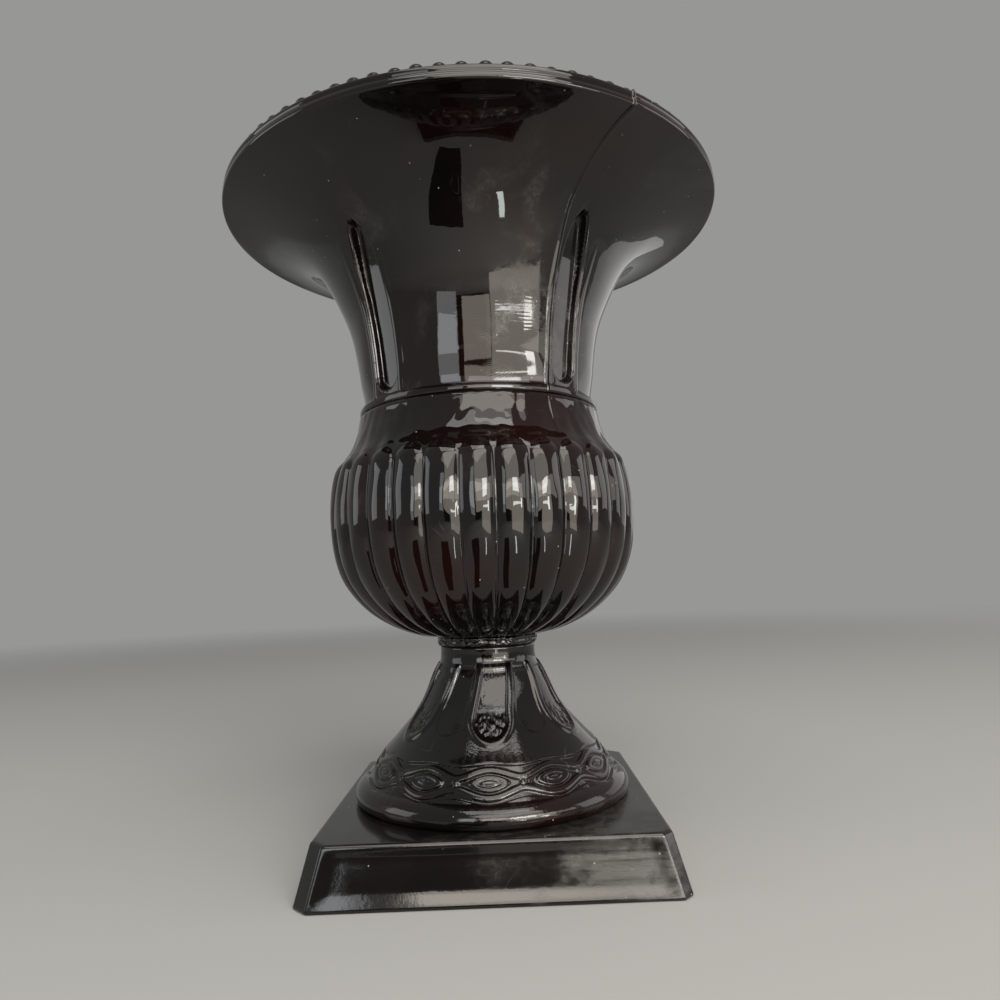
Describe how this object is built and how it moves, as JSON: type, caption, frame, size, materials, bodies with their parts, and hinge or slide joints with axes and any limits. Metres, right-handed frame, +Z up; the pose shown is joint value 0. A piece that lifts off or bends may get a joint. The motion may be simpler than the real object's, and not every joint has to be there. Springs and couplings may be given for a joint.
{
  "type": "urn vase",
  "caption": "Urn vase in black pressed glass: wide beaded bell mouth, panelled neck, fluted round bowl, stem wafer, trumpet foot with a relief band, and a square plinth.",
  "frame": {"origin": "centre of the square plinth's flat underside, where the vase rests", "axes": "+Z up along the vase's axis; -Y towards the front face of the plinth; +X to the right seen from the front"},
  "size_m": [0.1612, 0.1612, 0.2056],
  "materials": {
    "black_glass": "opaque black glass, fire-polished and mirror-glossy",
    "satin_black_glass": "opaque black glass with a duller, lightly scuffed surface"
  },
  "bodies": {
    "root": {"bell_and_neck": "black_glass", "fluted_bowl": "black_glass", "stem_wafer": "black_glass", "pedestal_foot": "black_glass", "square_plinth": "satin_black_glass"}
  },
  "joints": []
}
